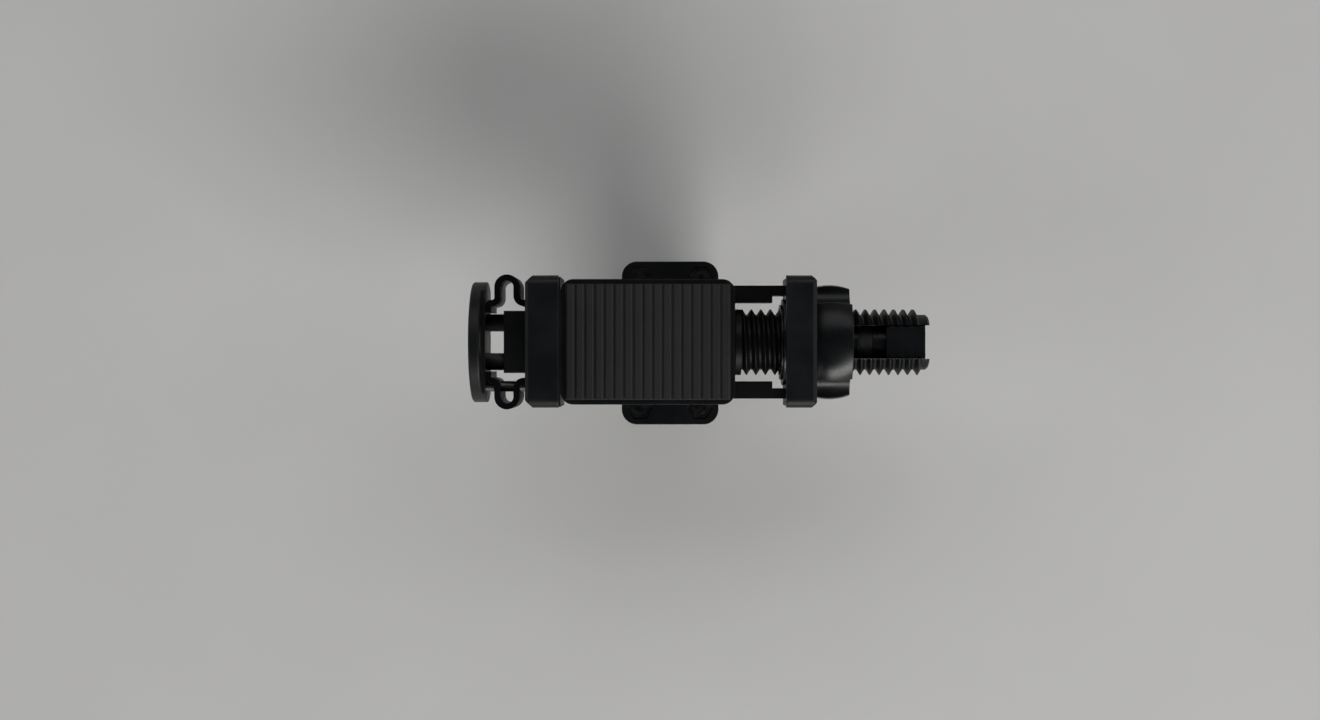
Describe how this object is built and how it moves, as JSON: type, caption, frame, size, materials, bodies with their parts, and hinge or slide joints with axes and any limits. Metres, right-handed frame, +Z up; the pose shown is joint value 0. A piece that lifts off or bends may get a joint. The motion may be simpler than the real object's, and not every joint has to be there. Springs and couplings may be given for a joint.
{
  "type": "phone mount",
  "caption": "Spring-loaded phone clamp with a lobed width knob and a round release button, on a swivelling two-piece clamp for a round handlebar.",
  "frame": {"origin": "centre of the handlebar clamp's bore, half way along it", "axes": "+X along the handlebar and the fork, towards the adjusting knob; +Y along the phone's length; +Z up, out of the phone's screen"},
  "size_m": [0.1435, 0.054, 0.0759],
  "materials": {
    "moulded_plastic": "black moulded nylon, fine texture",
    "satin_plastic": "black moulded plastic, satin gloss",
    "thread_plastic": "black acetal, smooth",
    "spring_strip": "black coated spring strip",
    "grip_rubber": "black rubber, matt",
    "black_steel": "black oxide steel",
    "ground_steel": "ground steel",
    "zinc_steel": "zinc plated steel",
    "white_nylon": "natural nylon"
  },
  "bodies": {
    "clamp": {"upper_clamp": "moulded_plastic", "lower_clamp": "moulded_plastic", "upper_liner": "grip_rubber", "lower_liner": "grip_rubber", "clamp_screws": "black_steel", "clamp_nuts": "black_steel", "swivel_nut": "zinc_steel", "swivel_bushing": "zinc_steel", "swivel_screw": "black_steel", "friction_washer": "white_nylon"},
    "cradle": {"turntable": "moulded_plastic", "guide_tube": "moulded_plastic", "tube_screws": "black_steel", "back_plate": "moulded_plastic", "back_plate_screws": "black_steel", "back_pad": "grip_rubber", "fixed_jaw": "moulded_plastic", "fixed_jaw_screws": "black_steel", "fixed_jaw_pad": "grip_rubber", "upper_omega_spring": "spring_strip", "lower_omega_spring": "spring_strip"},
    "fork": {"fork": "thread_plastic", "release_button": "moulded_plastic", "button_screws": "black_steel", "guide_pin": "ground_steel", "spreader_plug": "satin_plastic", "plug_bushing": "grip_rubber", "plug_screw": "black_steel"},
    "sliding_jaw": {"sliding_jaw": "moulded_plastic", "sliding_jaw_pad": "grip_rubber", "upper_guide_arm": "thread_plastic", "lower_guide_arm": "thread_plastic", "guide_arm_screws": "black_steel", "thrust_washer": "white_nylon"},
    "knob": {"adjusting_knob": "satin_plastic", "knob_retaining_ring": "black_steel"}
  },
  "joints": [
    {"name": "cradle_swivel", "type": "hinge", "parent": "clamp", "child": "cradle", "pos_m": [0, 0, 0.022], "axis": [0, 0, 1], "continuous": true},
    {"name": "button_push", "type": "slide", "parent": "cradle", "child": "fork", "axis": [1, 0, 0], "range_m": [0, 0.004], "stiffness_N_per_m": 2500, "springref_m": -0.002, "deforming": ["upper_omega_spring", "lower_omega_spring"]},
    {"name": "jaw_slide", "type": "slide", "parent": "fork", "child": "sliding_jaw", "axis": [1, 0, 0], "range_m": [-0.0135, 0.0135]},
    {"name": "knob_turn", "type": "hinge", "parent": "sliding_jaw", "child": "knob", "pos_m": [0.05, 0, 0.034], "axis": [1, 0, 0], "range_deg": [-1620, 1620]}
  ],
  "couplings": [
    {"joint": "knob_turn", "follows": "jaw_slide", "rad_per_m": 2094.4}
  ]
}
